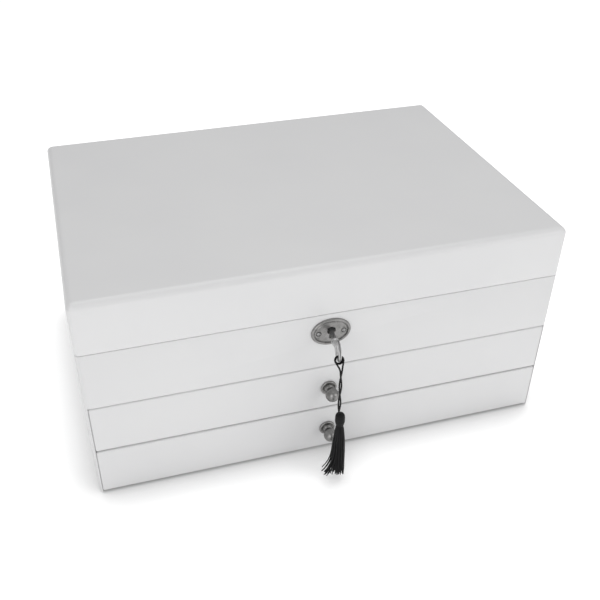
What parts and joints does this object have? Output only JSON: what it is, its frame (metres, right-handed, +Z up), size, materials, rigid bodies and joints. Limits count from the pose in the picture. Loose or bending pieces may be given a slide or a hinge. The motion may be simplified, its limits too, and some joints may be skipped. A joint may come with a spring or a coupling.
{
  "type": "jewellery chest with drawers",
  "caption": "White lacquered jewellery chest: hinged lid with key lock and tassel over a lined tray, and drawers with ball knobs below.",
  "frame": {"origin": "on the standing surface, under the middle of the case", "axes": "+X to the right seen from the front, -Y out of the front, +Z up"},
  "size_m": [0.3, 0.2499, 0.144],
  "materials": {
    "white_lacquer": "satin white lacquer on MDF",
    "drawer_wood": "thin matt white paint",
    "velvet": "grey velvet",
    "felt": "black felt",
    "antique_nickel": "antique nickel plate",
    "steel": "bright zinc plate",
    "mirror_glass": "silvered glass",
    "tassel_thread": "black twisted thread"
  },
  "bodies": {
    "case": {"base_felt": "felt", "case_left_side": "white_lacquer", "case_right_side": "white_lacquer", "case_back": "white_lacquer", "case_bottom": "white_lacquer", "drawer_shelf": "drawer_wood", "case_deck": "white_lacquer", "case_front_rail": "white_lacquer", "escutcheon": "antique_nickel", "escutcheon_pin_left": "antique_nickel", "escutcheon_pin_right": "antique_nickel", "lock_case": "steel", "case_hinge_leaf_left": "steel", "case_hinge_leaf_right": "steel", "hinge_pin_left": "steel", "hinge_pin_right": "steel", "compartment_lining": "velvet", "long_divider": "velvet", "front_divider": "velvet", "rear_divider_left": "velvet", "rear_divider_right": "velvet", "ring_cushion": "velvet"},
    "lid": {"lid_top": "white_lacquer", "lid_front": "white_lacquer", "lid_back": "white_lacquer", "lid_left": "white_lacquer", "lid_right": "white_lacquer", "lid_lining": "velvet", "lid_mirror": "mirror_glass", "strike_plate": "steel", "lid_hinge_leaf_left": "steel", "lid_hinge_leaf_right": "steel"},
    "upper_drawer": {"upper_drawer_front": "white_lacquer", "upper_drawer_left": "drawer_wood", "upper_drawer_right": "drawer_wood", "upper_drawer_back": "drawer_wood", "upper_drawer_bottom": "drawer_wood", "upper_drawer_lining": "velvet", "upper_drawer_knob": "antique_nickel", "upper_drawer_knob_screw": "steel"},
    "lower_drawer": {"lower_drawer_front": "white_lacquer", "lower_drawer_left": "drawer_wood", "lower_drawer_right": "drawer_wood", "lower_drawer_back": "drawer_wood", "lower_drawer_bottom": "drawer_wood", "lower_drawer_lining": "velvet", "lower_drawer_knob": "antique_nickel", "lower_drawer_knob_screw": "steel"},
    "lock_bolt": {"lock_bolt": "steel"},
    "lock_drum": {"lock_drum": "steel"},
    "key": {"key": "antique_nickel"},
    "tassel": {"tassel_cord": "tassel_thread", "tassel_head": "tassel_thread", "tassel_skirt": "tassel_thread"}
  },
  "joints": [
    {"name": "lid_hinge", "type": "hinge", "parent": "case", "child": "lid", "pos_m": [0, 0.1095, 0.11], "axis": [-1, 0, 0], "range_deg": [0, 100]},
    {"name": "upper_drawer_slide", "type": "slide", "parent": "case", "child": "upper_drawer", "axis": [0, -1, 0], "range_m": [0, 0.15], "deforming": ["tassel_cord", "tassel_head", "tassel_skirt"]},
    {"name": "lower_drawer_slide", "type": "slide", "parent": "case", "child": "lower_drawer", "axis": [0, -1, 0], "range_m": [0, 0.15]},
    {"name": "key_turn", "type": "hinge", "parent": "case", "child": "lock_drum", "pos_m": [-0.001, -0.1073, 0.0986], "axis": [-0.1253, -0.9921, 0], "range_deg": [0, 90]},
    {"name": "key_pull", "type": "slide", "parent": "lock_drum", "child": "key", "axis": [-0.1253, -0.9921, 0], "range_m": [0, 0.03]},
    {"name": "lock_bolt_slide", "type": "slide", "parent": "case", "child": "lock_bolt", "axis": [1, 0, 0], "range_m": [0, 0.0036]},
    {"name": "tassel_hang", "type": "hinge", "parent": "key", "child": "tassel", "pos_m": [-0.00414, -0.13212, 0.09478], "axis": [-0.1253, -0.9921, 0], "range_deg": [-90, 0]}
  ],
  "couplings": [
    {"joint": "key_turn", "follows": "lock_bolt_slide", "rad_per_m": 436.3},
    {"joint": "tassel_hang", "follows": "lock_bolt_slide", "rad_per_m": -436.3}
  ]
}
